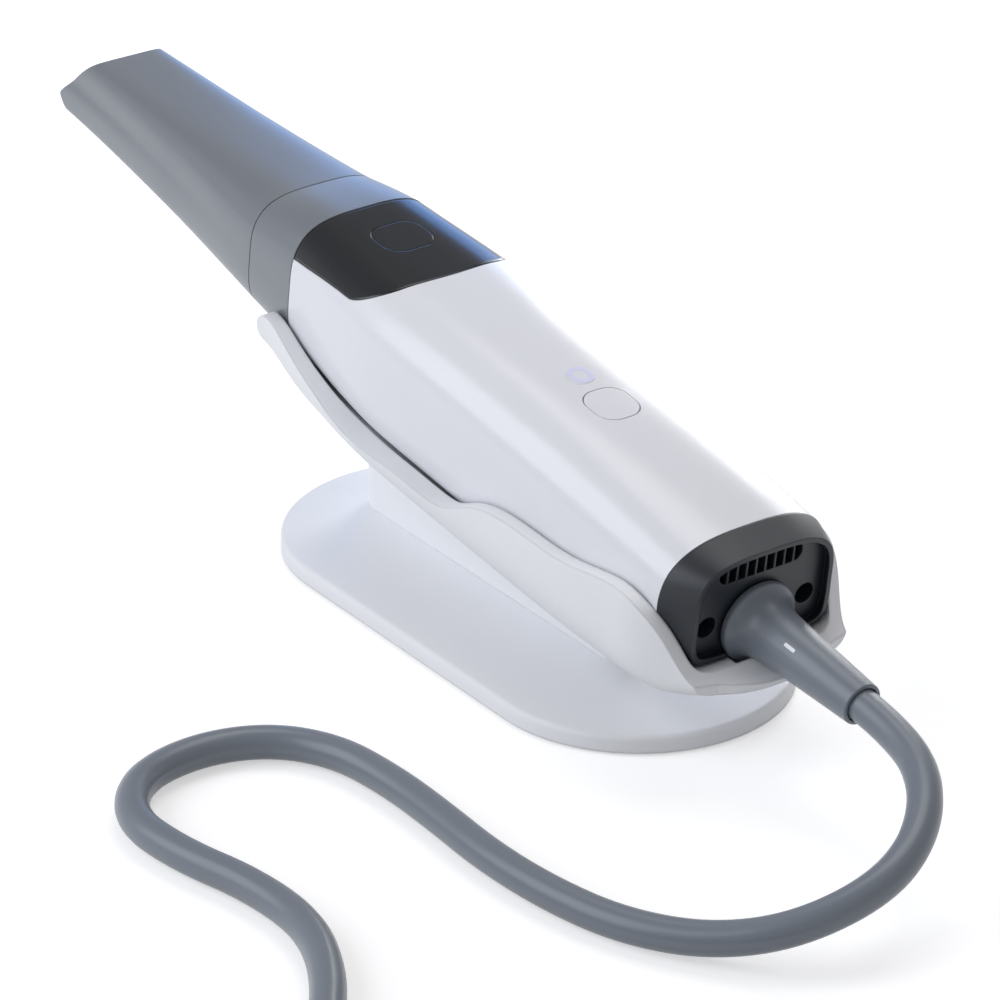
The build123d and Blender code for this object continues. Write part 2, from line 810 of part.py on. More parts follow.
# Main board on the pillars: processor below, driver chip and cable socket above
board_top_w = board_w + board_thickness
sink_u = board_start_u + sink_offset
chip_u = sink_u + (sink_length - chip_length) / 2
driver_u = board_end_u - 2 * driver_chip[0]
socket_u = board_start_u + cut_over
with BuildPart() as main_board:
    add(block((board_start_u, board_end_u), (-board_half, board_half), (board_w, board_top_w), board_corner))
    chip_y = (-chip_width / 2, chip_width / 2)
    add(block((chip_u, chip_u + chip_length), chip_y, (board_w - chip_height, board_w)))
    for start, (length, width, height) in ((driver_u, driver_chip), (socket_u, socket)):
        add(block((start, start + length), (-width / 2, width / 2), (board_top_w, board_top_w + height)))
save(main_board.part, "main_board")

# Heat sink under the processor, its fins standing on the chassis
sink_top_w = board_w - chip_height - chip_gap
sink_span = (sink_u, sink_u + sink_length)
with BuildPart() as heat_sink:
    add(block(sink_span, (-sink_width / 2, sink_width / 2), (sink_top_w - sink_base, sink_top_w)))
    for k in range(sink_fins):
        y = k * (sink_width - sink_fin_thickness) / (sink_fins - 1) - sink_width / 2
        add(block(sink_span, (y, y + sink_fin_thickness), (floor_top_w, sink_top_w)))
save(heat_sink.part, "heat_sink")

# Key board over the main board on four spacers, with its switches
key_start_u = function_u - key_board_margin
key_end_u = scan_u + key_board_margin
spacer_y = key_board_half - spacer_inset
spacer_us = (key_start_u + spacer_inset, board_end_u - spacer_front_inset)
with BuildPart() as key_board:
    key_board_y = (-key_board_half, key_board_half)
    add(block((key_start_u, key_end_u), key_board_y, (key_board_w, switch_w), board_corner))
    lamp_start_u = light_u - lamp_size[0] / 2
    lamp_y = (-lamp_size[1] / 2, lamp_size[1] / 2)
    add(block((lamp_start_u, lamp_start_u + lamp_size[0]), lamp_y, (switch_w, lamp_w)))
save(key_board.part, "key_board")

group("board_spacers", [
    post(u, y, (board_top_w, key_board_w), spacer_diameter)
    for u in spacer_us
    for y in (-spacer_y, spacer_y)
])


def tact_switch(u):
    half = switch_size / 2
    with BuildPart() as switch:
        add(block((u - half, u + half), (-half, half), (switch_w, switch_w + switch_height)))
        add(post(u, 0, (switch_w + switch_height, plunger_w), switch_plunger_diameter))
    return switch.part


group("tact_switches", [tact_switch(scan_u), tact_switch(function_u)])


# Projector and camera side by side on the chassis, looking into the neck
def optics_module(length, size, y, name):
    end = chassis_end_u - module_front_gap
    lens_end = end + barrel_reach
    lens_w = floor_top_w + size[1] / 2
    y_span = (y - size[0] / 2, y + size[0] / 2)
    with BuildPart() as module:
        add(block((end - length, end), y_span, (floor_top_w, floor_top_w + size[1]), module_corner))
        add(rod((end, lens_end), y, lens_w, barrel_diameter))
        lens_diameter = barrel_diameter - 2 * lens_rim
        add(rod((lens_end - lens_depth, lens_end), y, lens_w, lens_diameter), mode=Mode.SUBTRACT)
    save(module.part, name)


optics_module(projector_length, projector_size, -module_y, "projector_module")
optics_module(camera_length, camera_size, module_y, "camera_module")

# Cradle: a saddle that follows the handpiece, on a narrow pedestal
front, rear = collar_u + cradle_front_reach, rim_u - cradle_overhang


# Share of the way from one place to another, held between 0 and 1
def share(u, start, end):
    return min(1, max(0, (u - start) / (end - start)))


def cradle_gap(u):
    return cradle_gap_rear + (cradle_gap_front - cradle_gap_rear) * share(u, rear, front)


def cradle_skin(u):
    return cradle_gap(u) + cradle_wall_stern + (cradle_wall - cradle_wall_stern) * share(u, rear, cap_u)


def cradle_drop(u):
    behind = share(u, rear, rear + cradle_keel_rear_run)
    ahead = share(u, front, front - cradle_keel_front_run)
    return cradle_keel * behind**2 * (3 - 2 * behind) * ahead**2 * (3 - 2 * ahead)


bowl = form(rear - 2 * cut_over, front + 5 * cut_over, lambda u: -cradle_gap(u))
hull = form(rear - cut_over, front + 4 * cut_over, lambda u: -cradle_skin(u), cradle_drop)
rim_line = [(front - back, w) for back, w in cradle_rim_front]
rim_line += [(rim_u + ahead, w) for ahead, w in cradle_rim_rear]
rim_line += [(rear, cradle_rim_stern)]
with BuildPart() as rim_prism:
    with BuildSketch(side):
        with BuildLine():
            Spline(*rim_line)
            Polyline(rim_line[-1], (rear, -reach), (front + cradle_front_rake, -reach), rim_line[0])
        make_face()
    extrude(amount=reach, both=True)

# Plan of the cradle: open forwards, a bow at the stern
stern_left = (rear + cradle_stern_bow, cradle_stern_half)
stern_right = (rear + cradle_stern_bow, -cradle_stern_half)
plan_start, plan_end = rear + reach / 4, front + reach
with BuildPart() as plan_prism:
    with BuildSketch(hand.offset(-reach)):
        with BuildLine():
            ThreePointArc(stern_right, (rear, 0), stern_left)
            Polyline(
                stern_left, (plan_start, reach), (plan_end, reach), (plan_end, -reach), (plan_start, -reach),
                stern_right,
            )
        make_face()
    extrude(amount=2 * reach)
pedestal_mid_x = pedestal_start_x + pedestal_length / 2
cradle_screw_xs = (pedestal_mid_x - cradle_screw_spread / 2, pedestal_mid_x + cradle_screw_spread / 2)
head_top_z = pad_thickness + weight_thickness
with BuildPart() as cradle:
    add(hull)
    add(rim_prism.part, mode=Mode.INTERSECT)
    with BuildSketch(Plane.XY.offset(base_thickness)):
        with Locations((pedestal_mid_x, 0)):
            SlotOverall(pedestal_length, pedestal_width)
    extrude(amount=pedestal_height)
    fillet(cradle.edges(Select.NEW).filter_by(GeomType.BSPLINE), pedestal_blend)
    add(plan_prism.part, mode=Mode.INTERSECT)
    add(bowl, mode=Mode.SUBTRACT)
    add(rod((rear - cut_over, rim_u), 0, 0, boot_neck_diameter + 2 * boot_relief_gap), mode=Mode.SUBTRACT)
    add(rod((bell_u - bell_length / 2, face_u), 0, 0, bell_diameter + 2 * bell_gap), mode=Mode.SUBTRACT)
    with BuildSketch(Plane.XY.offset(base_thickness)):
        with Locations(*[(x, 0) for x in cradle_screw_xs]):
            Circle(cradle_screw_diameter / 2 + screw_clearance)
    extrude(amount=cradle_screw_depth + cut_over, mode=Mode.SUBTRACT)
save(cradle.part, "cradle")

# Base plate with a steel weight and a soft pad let into its underside
pad_length, pad_width = base_length - 2 * pad_margin, base_width - 2 * pad_margin
with BuildPart() as base_plate:
    with BuildSketch(Plane.XY.offset(base_lift)):
        SlotOverall(base_length, base_width)
    extrude(amount=base_thickness - base_lift)
    fillet(base_plate.faces().sort_by(Axis.Z)[-1].edges(), base_edge)
    with BuildSketch(Plane.XY):
        SlotOverall(pad_length + 2 * pocket_gap, pad_width + 2 * pocket_gap)
    extrude(amount=pad_thickness, mode=Mode.SUBTRACT)
    with BuildSketch(Plane.XY):
        SlotOverall(weight_length + 2 * pocket_gap, weight_width + 2 * pocket_gap)
    extrude(amount=head_top_z, mode=Mode.SUBTRACT)
    with BuildSketch(Plane.XY):
        with Locations(*[(x, 0) for x in cradle_screw_xs]):
            Circle(cradle_screw_diameter / 2 + screw_clearance)
    extrude(amount=base_thickness, mode=Mode.SUBTRACT)
save(base_plate.part, "base_plate")

with BuildPart() as base_weight:
    with BuildSketch(Plane.XY.offset(pad_thickness)):
        SlotOverall(weight_length, weight_width)
        with Locations(*[(x, 0) for x in cradle_screw_xs]):
            Circle(cradle_head_diameter / 2 + weight_hole_gap, mode=Mode.SUBTRACT)
    extrude(amount=weight_thickness)
save(base_weight.part, "base_weight")

with BuildPart() as base_pad:
    with BuildSketch(Plane.XY):
        SlotOverall(pad_length, pad_width)
    extrude(amount=pad_thickness)
save(base_pad.part, "base_pad")


def cradle_screw(x):
    with BuildPart() as screw:
        with BuildSketch(Plane.XY.offset(head_top_z - cradle_head_height)):
            with Locations((x, 0)):
                Circle(cradle_head_diameter / 2)
        extrude(amount=cradle_head_height)
        with BuildSketch(Plane.XY.offset(head_top_z)):
            with Locations((x, 0)):
                Circle(cradle_screw_diameter / 2)
        extrude(amount=base_thickness - head_top_z + cradle_screw_depth)
    return screw.part


group("cradle_screws", [cradle_screw(x) for x in cradle_screw_xs])

# Coil of the cable's spare length, lying flat on its tie
coil_half = coil_turns_wide * cable_diameter / 2
coil_height = coil_turns_high * cable_diameter
coil_outer_turn = coil_mean_radius + coil_half - cable_diameter / 2
coil_axis = Axis((coil_center[0], coil_center[1], 0), (0, 0, 1))


def coil_section(angle):
    place = (coil_center[0], coil_center[1], tie_thickness + coil_height / 2)
    return Plane(origin=place, x_dir=(cos(radians(angle)), sin(radians(angle)), 0),
                 z_dir=(sin(radians(angle)), -cos(radians(angle)), 0))


with BuildPart() as cable_coil:
    with BuildSketch(coil_section(0)):
        with Locations((coil_mean_radius, 0)):
            RectangleRounded(2 * coil_half, coil_height, coil_corner)
    revolve(axis=coil_axis)
save(cable_coil.part, "cable_coil")

tie_arc = degrees(tie_width / coil_mean_radius)
with BuildPart() as coil_tie:
    with BuildSketch(coil_section(tie_angle)):
        with Locations((coil_mean_radius, 0)):
            RectangleRounded(2 * coil_half + 2 * tie_thickness, coil_height + 2 * tie_thickness, tie_corner)
            RectangleRounded(2 * coil_half, coil_height, coil_corner, mode=Mode.SUBTRACT)
    revolve(axis=coil_axis, revolution_arc=tie_arc)
save(coil_tie.part, "coil_tie")


# A cord's path: straight runs joined by arcs as large as the runs allow
def arc_radii(points):
    radii = []
    for a, b, c in zip(points, points[1:], points[2:]):
        before, after = Vector(*b) - Vector(*a), Vector(*c) - Vector(*b)
        half_turn = radians(before.get_angle(after)) / 2
        radii.append(arc_share * min(before.length, after.length) / tan(half_turn))
    return radii


def cord(points, name):
    radii = arc_radii(points)
    print(name, "radii", [round(r, 1) for r in radii])
    with BuildPart() as tube:
        with BuildLine() as path:
            FilletPolyline(*points, radius=radii)
        with BuildSketch(Plane(origin=path.line @ 0, z_dir=path.line % 0)):
            Circle(cable_diameter / 2)
        sweep()
    length = path.wire().length
    print(name, "length", round(length, 1), "volume ratio",
          round(tube.part.volume / (length * pi * cable_diameter**2 / 4), 4))
    save(tube.part, name)


cable_start = hand.from_local_coords((boot_end_u + boot_recess_depth, 0, 0))
cable_lead_point = hand.from_local_coords((boot_end_u + boot_recess_depth - cable_lead, 0, 0))
coil_entry = (
    coil_center[0] + coil_outer_turn * cos(radians(entry_angle)),
    coil_center[1] + coil_outer_turn * sin(radians(entry_angle)),
    floor_z + tie_thickness,
)
cord([tuple(cable_start), tuple(cable_lead_point), *cable_route, coil_entry], "cable")

# Tail from the coil's top layer down to the plug
tail_z = tie_thickness + coil_height - cable_diameter / 2
tail_start = Vector(coil_center[0] - coil_outer_turn, coil_center[1], tail_z)
plug_z = plug_height / 2
tail_points = [tuple(tail_start + Vector(*step)) for step in tail_route]
tail_foot = (tail_points[-1][0], tail_points[-1][1] - tail_foot_run, plug_z)
tail_end = (tail_foot[0], tail_foot[1] - tail_end_run, plug_z)
cord([*tail_points, tail_foot, tail_end], "cable_tail")

# Plug at the cable's end, lying flat
plug_plane = Plane(origin=tail_end, x_dir=(1, 0, 0), z_dir=(0, -1, 0))
with BuildPart() as plug_body:
    with BuildSketch(plug_plane):
        RectangleRounded(plug_width, plug_height, plug_corner)
    extrude(amount=plug_length)
save(plug_body.part, "plug_body")

with BuildPart() as plug_shell:
    with BuildSketch(plug_plane.offset(plug_length)):
        RectangleRounded(shell_width, shell_height, shell_corner)
        Rectangle(shell_width - 2 * shell_wall, shell_height - 2 * shell_wall, mode=Mode.SUBTRACT)
    extrude(amount=shell_length)
save(plug_shell.part, "plug_shell")

with BuildPart() as plug_tongue:
    with BuildSketch(plug_plane.offset(plug_length)):
        with Locations((0, shell_wall + tongue_gap + tongue_height / 2 - shell_height / 2)):
            Rectangle(shell_width - 2 * shell_wall - 2 * tongue_gap, tongue_height)
    extrude(amount=tongue_length)
save(plug_tongue.part, "plug_tongue")
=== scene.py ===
# Intraoral scanner in its desk cradle: finishes, cable, small marks, studio
import math

import bpy
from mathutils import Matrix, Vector
from mathutils.bvhtree import BVHTree


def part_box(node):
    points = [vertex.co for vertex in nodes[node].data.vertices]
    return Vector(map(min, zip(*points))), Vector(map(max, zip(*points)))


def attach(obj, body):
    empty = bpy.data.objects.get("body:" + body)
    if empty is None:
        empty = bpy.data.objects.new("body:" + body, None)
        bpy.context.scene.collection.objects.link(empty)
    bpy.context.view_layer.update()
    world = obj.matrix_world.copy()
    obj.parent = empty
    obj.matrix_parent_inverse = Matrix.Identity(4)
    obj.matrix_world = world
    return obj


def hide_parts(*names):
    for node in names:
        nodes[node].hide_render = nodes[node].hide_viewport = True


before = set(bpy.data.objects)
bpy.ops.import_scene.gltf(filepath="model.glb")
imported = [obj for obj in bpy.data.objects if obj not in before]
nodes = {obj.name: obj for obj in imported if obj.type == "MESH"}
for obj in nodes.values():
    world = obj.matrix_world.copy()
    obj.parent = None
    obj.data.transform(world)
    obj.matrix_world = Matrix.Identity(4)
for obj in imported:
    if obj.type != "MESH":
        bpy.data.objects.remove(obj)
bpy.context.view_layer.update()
scene = bpy.context.scene
mm = 0.001
print("frame loaded,", len(nodes), "nodes")

# the handpiece lies tilted in the cradle: u runs along it, y across, w up
handFrame = {
    "tilt": 7.5,  # degrees, nose up
    "axisHeight": 38.6,  # mm, where the axis crosses the middle of the base
}
tilt = math.radians(handFrame["tilt"])
alongDir = Vector((math.cos(tilt), 0, math.sin(tilt)))
acrossDir = Vector((0, 1, 0))
upDir = Vector((-math.sin(tilt), 0, math.cos(tilt)))
handOrigin = Vector((0, 0, handFrame["axisHeight"] * mm))


# a point of the handpiece, from mm in its own frame to metres in the shared one
def handPoint(u, y, w):
    return handOrigin + (alongDir * u + acrossDir * y + upDir * w) * mm


def addObject(name, data):
    made = bpy.data.objects.new(name, data)
    scene.collection.objects.link(made)
    return made


# puts a camera or a lamp in its place and turns it to look along a direction
def pointAlong(thing, place, direction):
    thing.location = place
    thing.rotation_mode = "QUATERNION"
    thing.rotation_quaternion = direction.to_track_quat("-Z", "Y")


# camera, at the photograph's angle
cameraSettings = {
    "azimuth": 233.99197,  # degrees
    "elevation": 26.933117,  # degrees
    "distance": 0.9643,  # m from the origin, along the view
    "lens": 168.009,  # mm
    "sensor": 36.0,  # mm
    "originRight": 0.006633,  # m, the origin right of the view's middle
    "originUp": -0.022326,  # m, the origin above the view's middle
    "clip": (0.01, 20),  # m
}


def makeCamera(view):
    turn, rise = math.radians(view["azimuth"]), math.radians(view["elevation"])
    right = Vector((math.cos(turn), math.sin(turn), 0))
    back = Vector((math.sin(turn) * math.cos(rise), -math.cos(turn) * math.cos(rise), math.sin(rise)))
    up = back.cross(right)
    data = bpy.data.cameras.new("photoCamera")
    data.lens = view["lens"]
    data.sensor_width = view["sensor"]
    data.clip_start, data.clip_end = view["clip"]
    place = back * view["distance"] - right * view["originRight"] - up * view["originUp"]
    camera = addObject("photoCamera", data)
    pointAlong(camera, place, -back)
    scene.camera = camera


makeCamera(cameraSettings)
print("camera set")


# colours are written as sRGB hex and turned to linear here
def linear(hexColour):
    parts = [int(hexColour.lstrip("#")[i : i + 2], 16) / 255 for i in (0, 2, 4)]
    return [p / 12.92 if p <= 0.04045 else ((p + 0.055) / 1.055) ** 2.4 for p in parts] + [1.0]


# adds one node: settings are its properties, inputs are values or output sockets to link
def addNode(tree, kind, settings=None, inputs=None):
    node = tree.nodes.new(kind)
    for key, value in (settings or {}).items():
        setattr(node, key, value)
    for key, value in (inputs or {}).items():
        if isinstance(value, bpy.types.NodeSocket):
            tree.links.new(value, node.inputs[key])
        else:
            node.inputs[key].default_value = value
    return node


def emptyMaterial(name):
    material = bpy.data.materials.new(name)
    material.use_nodes = True
    material.node_tree.nodes.clear()
    return material, material.node_tree


# what all moulded finishes share
mouldTexture = {
    "driftDetail": 2.0, "grainDetail": 3.0,
    "noiseLow": 0.2, "noiseHigh": 0.8,  # span of the noise that the roughness follows
    "edgeSamples": 4,
}


# moulded plastic: colour with a faint drift, roughness that varies with it, a fine grain,
# and soft mould edges where the finish gives them a radius
def mouldedPlastic(name, look):
    material, tree = emptyMaterial(name)
    coords = addNode(tree, "ShaderNodeTexCoord")
    drift = addNode(tree, "ShaderNodeTexNoise", {}, {
        "Vector": coords.outputs["Object"], "Scale": 1 / (look["driftSize"] * mm),
        "Detail": mouldTexture["driftDetail"],
    })
    tone = addNode(tree, "ShaderNodeMix", {"data_type": "RGBA"}, {
        "Factor": drift.outputs["Fac"], "A": linear(look["colour"]), "B": linear(look["colourTwo"]),
    })
    grain = addNode(tree, "ShaderNodeTexNoise", {}, {
        "Vector": coords.outputs["Object"], "Scale": 1 / (look["grainSize"] * mm),
        "Detail": mouldTexture["grainDetail"],
    })
    rough = addNode(tree, "ShaderNodeMapRange", {}, {
        "Value": drift.outputs["Fac"],
        "From Min": mouldTexture["noiseLow"], "From Max": mouldTexture["noiseHigh"],
        "To Min": look["roughness"] - look["roughSpread"], "To Max": look["roughness"] + look["roughSpread"],
    })
    bump = addNode(tree, "ShaderNodeBump", {}, {
        "Height": grain.outputs["Fac"], "Strength": look["grainStrength"],
        "Distance": look["grainDepth"] * mm,
    })
    if look["edgeRadius"]:
        edge = addNode(tree, "ShaderNodeBevel", {"samples": mouldTexture["edgeSamples"]}, {
            "Radius": look["edgeRadius"] * mm,
        })
        tree.links.new(edge.outputs["Normal"], bump.inputs["Normal"])
    shader = addNode(tree, "ShaderNodeBsdfPrincipled", {}, {
        "Base Color": tone.outputs["Result"], "Roughness": rough.outputs["Result"],
        "Normal": bump.outputs["Normal"], "IOR": look["ior"],
    })
    addNode(tree, "ShaderNodeOutputMaterial", {}, {"Surface": shader.outputs["BSDF"]})
    return material


# sizes, depths and radii are in mm; the grain is drawn coarser than a mould's own, which is too fine to show
finishes = {
    # glossy white ABS shell, polished mould: clean soft reflections, almost no grain
    "glossyAbsWhite": {
        "colour": "#e4e5e9", "colourTwo": "#e0e1e6", "driftSize": 40, "roughness": 0.24, "roughSpread": 0.02,
        "grainSize": 1.2, "grainStrength": 0.03, "grainDepth": 0.02, "ior": 1.53, "edgeRadius": 0.25,
    },
    # white ABS cradle and base, fine satin mould: even, with no clear reflection
    "satinAbsWhite": {
        "colour": "#eeeff1", "colourTwo": "#eaebee", "driftSize": 40, "roughness": 0.52, "roughSpread": 0.03,
        "grainSize": 0.6, "grainStrength": 0.06, "grainDepth": 0.02, "ior": 1.53, "edgeRadius": 0.9,
    },
    # grey autoclavable polysulfone of the tip and collar, spark-eroded satin: broad soft reflections
    "satinPpsuGrey": {
        "colour": "#777c82", "colourTwo": "#73787f", "driftSize": 25, "roughness": 0.32, "roughSpread": 0.03,
        "grainSize": 0.5, "grainStrength": 0.08, "grainDepth": 0.02, "ior": 1.6, "edgeRadius": 0.5,
    },
    # black glossy polycarbonate panel: dark, with clear reflections
    "glossyPolycarbonateBlack": {
        "colour": "#232528", "colourTwo": "#202225", "driftSize": 20, "roughness": 0.16,
        "roughSpread": 0.015, "grainSize": 1.5, "grainStrength": 0.02, "grainDepth": 0.02, "ior": 1.5,
        "edgeRadius": 0.3,
    },
    # dark grey ABS of the rear cap, satin: a weak broad shine
    "satinAbsDark": {
        "colour": "#1f242b", "colourTwo": "#1c2128", "driftSize": 18, "roughness": 0.4, "roughSpread": 0.03,
        "grainSize": 0.5, "grainStrength": 0.1, "grainDepth": 0.02, "ior": 1.53, "edgeRadius": 0.4,
    },
    # soft grey elastomer of the boot, cable and plug: one long soft highlight
    "satinElastomerGrey": {
        "colour": "#777e87", "colourTwo": "#737a83", "driftSize": 40, "roughness": 0.32, "roughSpread": 0.02,
        "grainSize": 0.4, "grainStrength": 0.04, "grainDepth": 0.02, "ior": 1.5, "edgeRadius": 0,
    },
    # matt grey silicone underfoot: no shine
    "mattSiliconeGrey": {
        "colour": "#5d6166", "colourTwo": "#575b60", "driftSize": 10, "roughness": 0.7, "roughSpread": 0.05,
        "grainSize": 0.5, "grainStrength": 0.3, "grainDepth": 0.05, "ior": 1.43, "edgeRadius": 0.2,
    },
    # matt black ABS of the fan: dull
    "mattAbsBlack": {
        "colour": "#222427", "colourTwo": "#1e2023", "driftSize": 10, "roughness": 0.55, "roughSpread": 0.05,
        "grainSize": 0.4, "grainStrength": 0.2, "grainDepth": 0.02, "ior": 1.53, "edgeRadius": 0.1,
    },
    # green solder mask on glass-fibre board: half gloss
    "solderMaskGreen": {
        "colour": "#1f5a3a", "colourTwo": "#1a4f33", "driftSize": 6, "roughness": 0.35, "roughSpread": 0.05,
        "grainSize": 0.4, "grainStrength": 0.2, "grainDepth": 0.02, "ior": 1.5, "edgeRadius": 0.1,
    },
    # white pad print on the boot: flat and even
    "printedInkWhite": {
        "colour": "#f0f1f3", "colourTwo": "#e9ebee", "driftSize": 4, "roughness": 0.45, "roughSpread": 0.03,
        "grainSize": 0.3, "grainStrength": 0.1, "grainDepth": 0.01, "ior": 1.5, "edgeRadius": 0.02,
    },
    # light pipe of the status lamp: a pale violet blue under the skin
    "frostedAcrylicBlue": {
        "colour": "#d2d4f0", "colourTwo": "#d6d8f0", "driftSize": 3, "roughness": 0.33, "roughSpread": 0.02,
        "grainSize": 0.4, "grainStrength": 0.05, "grainDepth": 0.01, "ior": 1.49, "edgeRadius": 0.05,
    },
}
materials = {name: mouldedPlastic(name, look) for name, look in finishes.items()}

# what all metals share
metalTexture = {
    "grainDetail": 3.0, "grainDepth": 0.02,  # depth in mm
    "noiseLow": 0.3, "noiseHigh": 0.7,  # span of the noise that the roughness follows
    "roughSpread": 0.05,
}


# worked metal: fine scratches in colour, roughness and bump, drawn out along one axis where it is stretched
def workedMetal(name, look):
    material, tree = emptyMaterial(name)
    coords = addNode(tree, "ShaderNodeTexCoord")
    stretch = addNode(tree, "ShaderNodeMapping", {}, {
        "Vector": coords.outputs["Object"], "Scale": look["stretch"],
    })
    grain = addNode(tree, "ShaderNodeTexNoise", {}, {
        "Vector": stretch.outputs["Vector"], "Scale": 1 / (look["grainSize"] * mm),
        "Detail": metalTexture["grainDetail"],
    })
    tone = addNode(tree, "ShaderNodeMix", {"data_type": "RGBA"}, {
        "Factor": grain.outputs["Fac"], "A": linear(look["colour"]), "B": linear(look["colourTwo"]),
    })
    spread = metalTexture["roughSpread"]
    rough = addNode(tree, "ShaderNodeMapRange", {}, {
        "Value": grain.outputs["Fac"],
        "From Min": metalTexture["noiseLow"], "From Max": metalTexture["noiseHigh"],
        "To Min": look["roughness"] - spread, "To Max": look["roughness"] + spread,
    })
    bump = addNode(tree, "ShaderNodeBump", {}, {
        "Height": grain.outputs["Fac"], "Strength": look["grainStrength"],
        "Distance": metalTexture["grainDepth"] * mm,
    })
    shader = addNode(tree, "ShaderNodeBsdfPrincipled", {}, {
        "Base Color": tone.outputs["Result"], "Roughness": rough.outputs["Result"],
        "Normal": bump.outputs["Normal"], "Metallic": 1.0,
    })
    addNode(tree, "ShaderNodeOutputMaterial", {}, {"Surface": shader.outputs["BSDF"]})
    return material


metals = {
    # zinc-plated steel: pale, a little blue
    "zincPlatedSteel": {
        "colour": "#c9ccd0", "colourTwo": "#b7babf", "stretch": (1, 1, 1), "grainSize": 0.6,
        "roughness": 0.3, "grainStrength": 0.1,
    },
    # black oxide screws: near black, with a dull shine
    "blackOxideSteel": {
        "colour": "#3a3c40", "colourTwo": "#2c2e31", "stretch": (1, 1, 1), "grainSize": 0.4,
        "roughness": 0.38, "grainStrength": 0.1,
    },
    # extruded aluminium: pale, with fine lines along it
    "extrudedAluminium": {
        "colour": "#cfd2d6", "colourTwo": "#bcc0c5", "stretch": (0.1, 1, 1), "grainSize": 0.5,
        "roughness": 0.32, "grainStrength": 0.15,
    },
    # first-surface mirror: a sharp reflection
    "frontSilveredGlass": {
        "colour": "#f2f3f5", "colourTwo": "#eceef1", "stretch": (1, 1, 1), "grainSize": 4.0,
        "roughness": 0.06, "grainStrength": 0.0,
    },
    # nickel-plated plug shell: bright and a little warm
    "nickelPlatedSteel": {
        "colour": "#d3d2cd", "colourTwo": "#c4c3be", "stretch": (1, 0.1, 1), "grainSize": 0.4,
        "roughness": 0.24, "grainStrength": 0.08,
    },
    # gold-flashed contacts: a soft yellow shine
    "goldFlash": {
        "colour": "#e3bd62", "colourTwo": "#d6ab4c", "stretch": (1, 1, 1), "grainSize": 0.5,
        "roughness": 0.28, "grainStrength": 0.05,
    },
}
materials.update({name: workedMetal(name, look) for name, look in metals.items()})

# optical glass of the front window: clear, faintly cool, with a trace of haze
windowGlass = {
    "colour": "#e4eef6", "hazeSize": 6,  # mm
    "roughLow": 0.02, "roughHigh": 0.06, "ior": 1.52,
}


def opticalGlass(name, look):
    material, tree = emptyMaterial(name)
    coords = addNode(tree, "ShaderNodeTexCoord")
    haze = addNode(tree, "ShaderNodeTexNoise", {}, {
        "Vector": coords.outputs["Object"], "Scale": 1 / (look["hazeSize"] * mm),
    })
    rough = addNode(tree, "ShaderNodeMapRange", {}, {
        "Value": haze.outputs["Fac"], "To Min": look["roughLow"], "To Max": look["roughHigh"],
    })
    shader = addNode(tree, "ShaderNodeBsdfPrincipled", {}, {
        "Base Color": linear(look["colour"]), "Roughness": rough.outputs["Result"],
        "Transmission Weight": 1.0, "IOR": look["ior"],
    })
    addNode(tree, "ShaderNodeOutputMaterial", {}, {"Surface": shader.outputs["BSDF"]})
    return material


materials["opticalGlass"] = opticalGlass("opticalGlass", windowGlass)

# woven polyester strap: crossed threads, drawn coarse enough to show, a soft sheen on top
strapWeave = {
    "colour": "#2a2c30", "colourTwo": "#17181b", "threadSpacing": 0.8,  # mm
    "roughness": 0.75, "depth": 0.15, "bumpStrength": 0.6,  # depth in mm
    "sheen": 0.3, "sheenRoughness": 0.5,
}


def wovenStrap(name, look):
    material, tree = emptyMaterial(name)
    coords = addNode(tree, "ShaderNodeTexCoord")
    waveTurn = 20  # radians that a wave texture runs through in one metre at scale 1
    scale = 2 * math.pi / (waveTurn * look["threadSpacing"] * mm)
    warp = addNode(tree, "ShaderNodeTexWave", {"wave_type": "BANDS", "bands_direction": "DIAGONAL"}, {
        "Vector": coords.outputs["Object"], "Scale": scale,
    })
    weft = addNode(tree, "ShaderNodeTexWave", {"wave_type": "BANDS", "bands_direction": "Z"}, {
        "Vector": coords.outputs["Object"], "Scale": scale,
    })
    weave = addNode(tree, "ShaderNodeMath", {"operation": "MULTIPLY"}, {
        0: warp.outputs["Fac"], 1: weft.outputs["Fac"],
    })
    tone = addNode(tree, "ShaderNodeMix", {"data_type": "RGBA"}, {
        "Factor": weave.outputs["Value"], "A": linear(look["colourTwo"]), "B": linear(look["colour"]),
    })
    bump = addNode(tree, "ShaderNodeBump", {}, {
        "Height": weave.outputs["Value"], "Strength": look["bumpStrength"], "Distance": look["depth"] * mm,
    })
    shader = addNode(tree, "ShaderNodeBsdfPrincipled", {}, {
        "Base Color": tone.outputs["Result"], "Roughness": look["roughness"],
        "Normal": bump.outputs["Normal"],
        "Sheen Weight": look["sheen"], "Sheen Roughness": look["sheenRoughness"],
    })
    addNode(tree, "ShaderNodeOutputMaterial", {}, {"Surface": shader.outputs["BSDF"]})
    return material


materials["wovenStrapBlack"] = wovenStrap("wovenStrapBlack", strapWeave)

